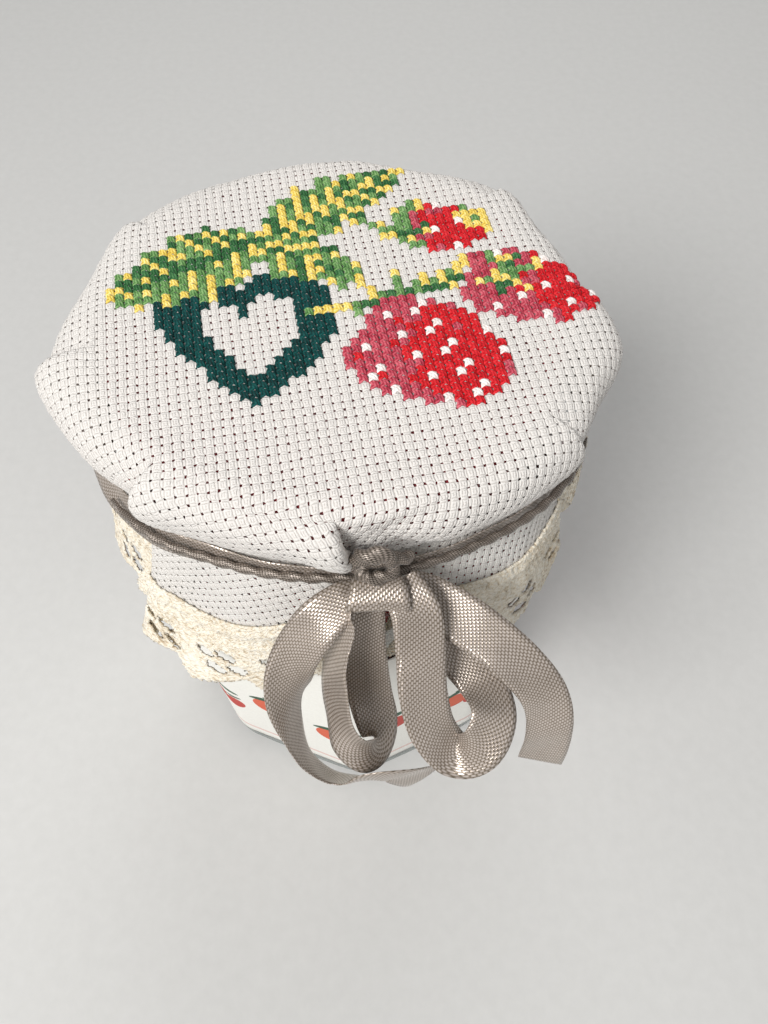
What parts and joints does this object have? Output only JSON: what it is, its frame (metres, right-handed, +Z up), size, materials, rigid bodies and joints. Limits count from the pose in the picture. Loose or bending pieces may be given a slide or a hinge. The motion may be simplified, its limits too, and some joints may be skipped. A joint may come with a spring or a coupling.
{
  "type": "jam pot",
  "caption": "Eight-sided glass pot of strawberry jam with a cross-stitched cloth cover, crocheted edging and a satin ribbon bow over its lid.",
  "frame": {"origin": "centre of the jar's flat base, on the surface it stands on", "axes": "+Z up through the lid, -Y towards the front, where the bow hangs, +X to the right seen from the front"},
  "size_m": [0.0978, 0.1099, 0.1228],
  "materials": {
    "glass": "clear, smooth",
    "jam": "glossy, set jam with fruit pieces",
    "lid": "gloss lacquer",
    "label": "smooth, printed with plain colour shapes",
    "cloth": "even-weave cotton with cross stitching",
    "lace": "crocheted cotton",
    "ribbon": "satin with a fine diagonal rib"
  },
  "bodies": {
    "root": {"jar": "glass", "jam": "jam", "lid": "lid", "label": "label", "cover": "cloth", "lace": "lace", "ribbon_band": "ribbon", "knot": "ribbon", "loop_left": "ribbon", "loop_right": "ribbon", "tail_left": "ribbon", "tail_right": "ribbon"}
  },
  "joints": []
}
